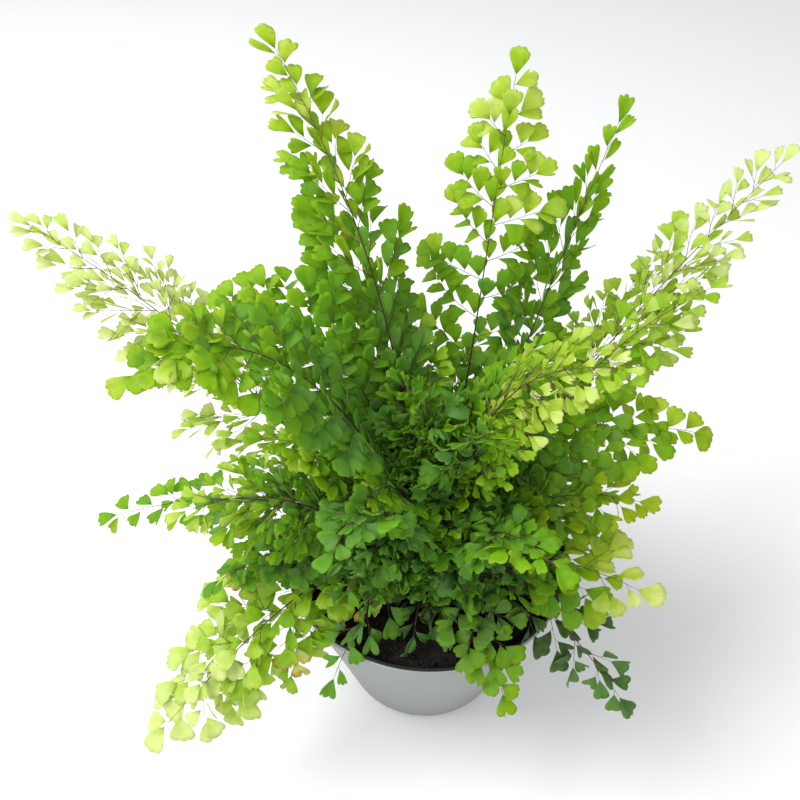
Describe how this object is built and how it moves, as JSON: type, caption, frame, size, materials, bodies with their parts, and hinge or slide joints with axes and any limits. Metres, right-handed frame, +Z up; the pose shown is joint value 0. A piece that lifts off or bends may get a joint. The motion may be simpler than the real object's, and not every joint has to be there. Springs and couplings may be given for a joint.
{
  "type": "potted fern",
  "caption": "Maidenhair fern in a tapered round plastic pot, with wiry fronds of fan-shaped leaflets rising and spreading from a rootstock in soil.",
  "frame": {"origin": "centre of the pot's flat base, where it rests", "axes": "+Z up along the pot's axis; -Y towards the picture's camera; +X to the right in the picture"},
  "size_m": [0.3601, 0.224, 0.3283],
  "materials": {
    "pot": "satin",
    "soil": "matte",
    "rootstock": "matte",
    "foliage": "satin"
  },
  "bodies": {
    "root": {"pot": "pot", "soil": "soil", "rootstock": "rootstock", "frond_01": "foliage", "frond_02": "foliage", "frond_03": "foliage", "frond_04": "foliage", "frond_05": "foliage", "frond_06": "foliage", "frond_07": "foliage", "frond_08": "foliage", "frond_09": "foliage", "frond_10": "foliage", "frond_11": "foliage", "frond_12": "foliage", "frond_13": "foliage", "frond_14": "foliage", "frond_15": "foliage", "frond_16": "foliage", "frond_17": "foliage", "frond_18": "foliage", "frond_19": "foliage", "frond_20": "foliage", "frond_21": "foliage", "frond_22": "foliage", "frond_23": "foliage", "frond_24": "foliage", "frond_25": "foliage", "frond_26": "foliage", "frond_27": "foliage", "frond_28": "foliage", "frond_29": "foliage", "frond_30": "foliage", "frond_31": "foliage", "frond_32": "foliage", "frond_33": "foliage", "frond_34": "foliage", "frond_35": "foliage", "frond_36": "foliage", "frond_37": "foliage", "frond_38": "foliage", "frond_39": "foliage", "frond_40": "foliage", "frond_41": "foliage", "frond_42": "foliage", "frond_43": "foliage", "frond_44": "foliage", "frond_45": "foliage", "frond_46": "foliage", "frond_47": "foliage", "frond_48": "foliage", "frond_49": "foliage", "frond_50": "foliage", "frond_51": "foliage", "frond_52": "foliage", "frond_53": "foliage", "frond_54": "foliage", "frond_55": "foliage", "frond_56": "foliage", "frond_57": "foliage"}
  },
  "joints": []
}
